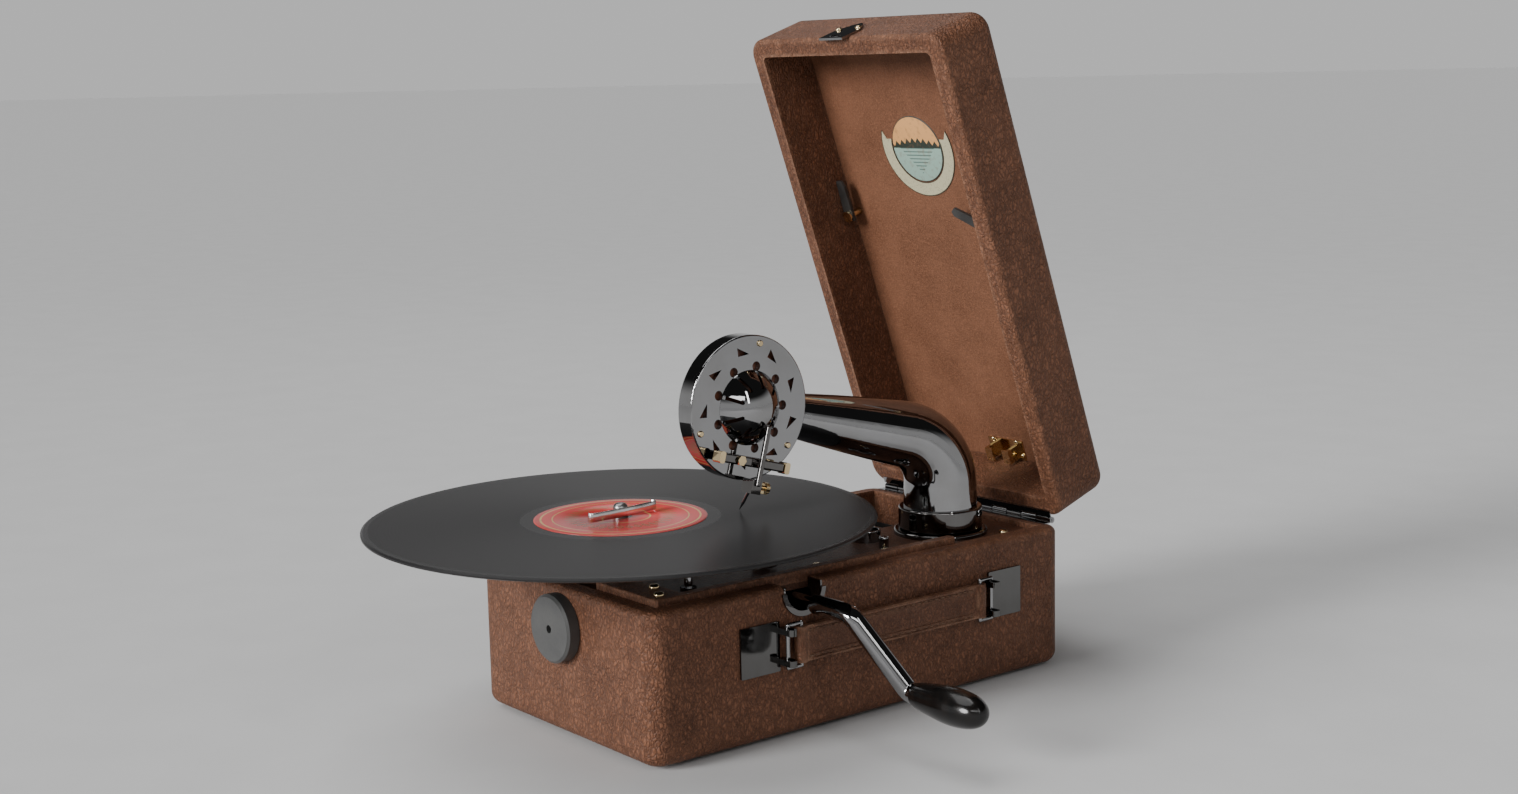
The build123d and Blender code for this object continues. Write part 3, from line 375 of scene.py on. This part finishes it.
# ---------------------------------------------------------------- spring clamp on the spindle
def clamp(work):
    """A thin upright strip beside the spindle, bowed in the middle and curled at its ends."""
    path = [(math.cos(a) * 1.6 + 1.6, -19.2 - math.sin(a) * 1.6) for a in (2.6, 1.9, 1.2, 0.6)]
    path += [(3.4, -16), (3.9, -8), (4.4, 0), (3.9, 8), (3.4, 16)]
    path += [(math.cos(a) * 1.6 + 1.6, 19.2 + math.sin(a) * 1.6) for a in (0.6, 1.2, 1.9, 2.6)]
    half, low, high = 0.35, 1.0, 5.4
    loops = []
    for index, (x, y) in enumerate(path):
        before, after = path[max(index - 1, 0)], path[min(index + 1, len(path) - 1)]
        side = Vector((after[1] - before[1], before[0] - after[0])).normalized() * half
        loops.append([
            work.verts.new((Vector((x + side.x * k, y + side.y * k, z)) * MM).to_tuple())
            for k, z in ((1, low), (1, high), (-1, high), (-1, low))
        ])
    for one, two in zip(loops, loops[1:]):
        for k in range(4):
            work.faces.new((one[k], one[(k + 1) % 4], two[(k + 1) % 4], two[k]))
    work.faces.new(loops[0])
    work.faces.new(reversed(loops[-1]))


clamp_place = label_place @ Matrix.Rotation(0.1, 4, "Z")
bright_plate = metal("bright_plate", (0.85, 0.83, 0.82), 0.18, depth=0.000003)
clamp_piece = add_mesh("spindle_clamp", clamp, bright_plate, "turntable", clamp_place)
clamp_edge = clamp_piece.modifiers.new("edge", "BEVEL")
clamp_edge.width = 0.0001
clamp_edge.limit_method = "ANGLE"

# ---------------------------------------------------------------- emblem on the lid lining
open_angle = math.radians(70.8)
lid_up = Vector((0, -math.cos(open_angle), math.sin(open_angle)))
lid_out = Vector((0, -math.sin(open_angle), -math.cos(open_angle)))
lid_origin = Vector((0, 134.5, 79.7)) * MM


def on_lid(u, v, w):
    """A point of the open lid: right, up the lid and out of its mouth, in millimetres."""
    return lid_origin + Vector((u, 0, 0)) * MM + lid_up * v * MM + lid_out * w * MM


lining_face = -31.7


def emblem_print(name):
    """A plain badge: warm sky, a row of dark firs and pale rippled water, with a thin dark rim."""
    s = Surface(name)
    xyz = s.add("ShaderNodeSeparateXYZ", {0: s.coords}).outputs
    flat = s.add("ShaderNodeVectorMath", {0: s.coords, 1: (1, 1, 0)}, operation="MULTIPLY").outputs[0]
    radius = s.add("ShaderNodeVectorMath", {0: flat}, operation="LENGTH").outputs["Value"]
    ripple_pitch, waterline, picture_radius = 0.002, 0.0006, 0.0181
    wave = s.math("SINE", s.math("MULTIPLY", xyz[1], 2 * math.pi / ripple_pitch))
    ripple = s.math("GREATER_THAN", wave, 0.5)
    narrow = s.math("LESS_THAN", s.math("ABSOLUTE", xyz[0]), s.math("MULTIPLY_ADD", xyz[1], 0.9, 0.0125))
    ripples = s.math("MULTIPLY", s.math("MULTIPLY", ripple, narrow), 0.8)
    water = s.mix(ripples, (0.3, 0.44, 0.37), (0.05, 0.1, 0.09))
    fir = s.math("PINGPONG", xyz[0], 0.0021)
    ridge = s.math("MULTIPLY_ADD", s.math("COSINE", s.math("MULTIPLY", xyz[0], 150.0)), 0.0012, 0.0026)
    above = s.math("GREATER_THAN", xyz[1], s.math("MULTIPLY_ADD", fir, 1.3, ridge))
    over_water = s.math("GREATER_THAN", xyz[1], waterline)
    picture = s.mix(over_water, water, (0.02, 0.03, 0.02))
    picture = s.mix(above, picture, (0.68, 0.34, 0.12))
    paint = s.mix(s.math("GREATER_THAN", radius, picture_radius), picture, (0.05, 0.05, 0.04))
    wear = s.spread(s.noise(0.003, 6), 0.52, 0.72, 0, 0.45)
    s.set(Base_Color=s.mix(wear, paint, (0.2, 0.1, 0.05)), Roughness=0.5)
    s.bump(s.noise(0.0015, 5), 0.00003, 0.5)
    return s.material


def ribbon_print(name):
    """Cream enamel with a thin dark line just inside either edge, and no lettering."""
    s = Surface(name)
    flat = s.add("ShaderNodeVectorMath", {0: s.coords, 1: (1, 1, 0)}, operation="MULTIPLY").outputs[0]
    radius = s.add("ShaderNodeVectorMath", {0: flat}, operation="LENGTH").outputs["Value"]
    middle, plain_half_width = 0.0229, 0.0034
    rim = s.math("GREATER_THAN", s.math("ABSOLUTE", s.math("SUBTRACT", radius, middle)), plain_half_width)
    speck = s.spread(s.noise(0.0009, 3), 0.56, 0.62, 0, 0.35)
    paint = s.mix(speck, (0.5, 0.46, 0.3), (0.2, 0.18, 0.11))
    s.set(Base_Color=s.mix(rim, paint, (0.05, 0.045, 0.03)), Roughness=0.5)
    s.bump(s.noise(0.0015, 5), 0.00003, 0.5)
    return s.material


def ribbon(work):
    """A flat band round the foot of the badge, with notched ends."""
    steps, inner, outer, lift = 64, 0.0191, 0.0268, 0.00035
    # radius, first angle and sweep of each edge line, the middle one shortest for the notch
    lines = ((inner, 163, 214), ((inner + outer) / 2, 166, 208), (outer, 157, 226))
    rows = []
    for step in range(steps + 1):
        row = []
        for radius, first, sweep in lines:
            angle = math.radians(first + sweep * step / steps)
            row.append(work.verts.new((radius * math.cos(angle), radius * math.sin(angle), lift)))
        rows.append(row)
    for one, two in zip(rows, rows[1:]):
        for k in range(2):
            work.faces.new((one[k], two[k], two[k + 1], one[k + 1]))
    made = bmesh.ops.extrude_face_region(work, geom=work.faces[:])["geom"]
    for item in made:
        if isinstance(item, bmesh.types.BMVert):
            item.co.z = 0.0


emblem_place = axes_at(on_lid(1.5, 195.5, lining_face + 0.02), (1, 0, 0), lid_out)
add_mesh("lid_emblem", lathe([(0, 0.0004), (0.0183, 0.0004), (0.0186, 0.0003), (0.0187, 0.0)]),
         emblem_print("emblem_print"), "lid", emblem_place)
add_mesh(
    "lid_emblem_ribbon", ribbon, ribbon_print("ribbon_print"), "lid", emblem_place, smooth=False
)

# ---------------------------------------------------------------- stitching on the strap
thread = plain("thread", (0.13, 0.07, 0.04), (0.22, 0.13, 0.08), 0.7, 0.0004, 0.0001)
strap_low, strap_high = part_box("handle_strap")
strap_face = (strap_low[0] + strap_high[0]) / 2 + 1.5 * MM


def stitches(work):
    """Two rows of short rounded stitches along the strap."""
    length, pitch = 2.9 * MM, 3.9 * MM
    middle = (strap_low[2] + strap_high[2]) / 2
    span = strap_high[1] - strap_low[1] - 13 * MM
    for side in (-1, 1):
        for index in range(int(span / pitch)):
            y = strap_low[1] + 6.5 * MM + pitch * (index + 0.5)
            z = middle + side * (6.5 + random.uniform(-0.08, 0.08)) * MM
            rings = []
            for step in range(5):
                part = step / 4
                lift = 0.34 * MM * math.sin(math.pi * part)
                wide = (0.28 + 0.1 * math.sin(math.pi * part)) * MM
                centre = Vector((strap_face - 0.1 * MM + lift, y + (part - 0.5) * length, z))
                rings.append([
                    work.verts.new(centre + Vector((wide * math.cos(a), 0, wide * math.sin(a))))
                    for a in [2 * math.pi * k / 6 for k in range(6)]
                ])
            for low, high in zip(rings, rings[1:]):
                for k in range(6):
                    work.faces.new((low[k], low[(k + 1) % 6], high[(k + 1) % 6], high[k]))
            work.faces.new(rings[0])
            work.faces.new(reversed(rings[-1]))


add_mesh("strap_stitches", stitches, thread, "strap")

# ---------------------------------------------------------------- floor, light and camera
yaw, pitch, roll = math.radians(51.68), math.radians(-8.93), math.radians(-1.26)
camera_place = Vector((815.78, -654.83, 316.88)) * MM
aside = Vector((math.cos(yaw), math.sin(yaw), 0))


def wide_floor(work):
    """Plain studio floor, wide enough to meet the horizon."""
    reach, corners = 60, 64
    turns = [2 * math.pi * k / corners for k in range(corners)]
    work.faces.new([work.verts.new((reach * math.cos(a), reach * math.sin(a), 0)) for a in turns])


floor_look = plain("floor", (0.645, 0.645, 0.645), (0.665, 0.665, 0.665), 0.85, 0.004, 0.00001)
floor_look.node_tree.nodes["Principled BSDF"].inputs["Specular IOR Level"].default_value = 0.0
floor_mesh = bpy.data.meshes.new("floor")
floor_work = bmesh.new()
wide_floor(floor_work)
floor_work.to_mesh(floor_mesh)
floor_work.free()
floor_mesh.materials.append(floor_look)
floor = bpy.data.objects.new("floor", floor_mesh)
bpy.context.scene.collection.objects.link(floor)


def area_light(name, place, target, size, power):
    """A soft rectangular light that the camera does not see."""
    data = bpy.data.lights.new(name, "AREA")
    data.shape = "RECTANGLE"
    data.size, data.size_y = size
    data.energy = power
    lamp = bpy.data.objects.new(name, data)
    lamp.location = place
    lamp.rotation_euler = (Vector(target) - Vector(place)).to_track_quat("-Z", "Y").to_euler()
    lamp.visible_camera = False
    bpy.context.scene.collection.objects.link(lamp)


def far_light(name, direction, power, spread):
    """A distant soft light shining from the given direction."""
    data = bpy.data.lights.new(name, "SUN")
    data.energy = power
    data.angle = math.radians(spread)
    lamp = bpy.data.objects.new(name, data)
    lamp.rotation_euler = Vector(direction).to_track_quat("Z", "Y").to_euler()
    bpy.context.scene.collection.objects.link(lamp)


far_light("key", (-0.1, -0.95, 0.3), 3.7, 24)
far_light("overhead", (-0.35, -0.25, 0.9), 1.25, 50)
area_light("strip_high", (-0.5, 0.35, 1.5), (0.05, 0.0, 0.12), (0.22, 1.9), 3)
area_light("strip_front", (1.1, -0.85, 0.86), (0.03, 0.03, 0.15), (1.3, 0.28), 4.6)
area_light("strip_side", (1.5, -0.1, 0.9), (0.05, 0.0, 0.15), (0.12, 0.9), 2.5)

# pale round the horizon, dark overhead, so that the plated metal has something to mirror
world = bpy.data.worlds.new("studio")
world.use_nodes = True
sky = world.node_tree
toward = sky.nodes.new("ShaderNodeTexCoord").outputs["Generated"]
height = sky.nodes.new("ShaderNodeSeparateXYZ")
fade = sky.nodes.new("ShaderNodeMapRange")
fade.interpolation_type = "SMOOTHSTEP"
for socket, value in (("From Min", 0.16), ("From Max", 0.42), ("To Min", 0.555), ("To Max", 0.02)):
    fade.inputs[socket].default_value = value
sky.links.new(toward, height.inputs[0])
sky.links.new(height.outputs[2], fade.inputs["Value"])
sky.links.new(fade.outputs[0], sky.nodes["Background"].inputs[1])
sky.nodes["Background"].inputs[0].default_value = (1, 1, 1, 1)
bpy.context.scene.world = world

forward = Vector((-math.sin(yaw) * math.cos(pitch), math.cos(yaw) * math.cos(pitch), math.sin(pitch)))
upward = aside.cross(forward)
right = math.cos(roll) * aside + math.sin(roll) * upward
top = -math.sin(roll) * aside + math.cos(roll) * upward
camera_data = bpy.data.cameras.new("camera")
camera_data.sensor_width = 36
camera_data.lens = 36 * 2065.79 / 1518
camera_data.clip_start = 0.01
camera = bpy.data.objects.new("camera", camera_data)
camera.matrix_world = Matrix.Translation(camera_place) @ Matrix((right, top, -forward)).transposed().to_4x4()
bpy.context.scene.collection.objects.link(camera)
bpy.context.scene.camera = camera
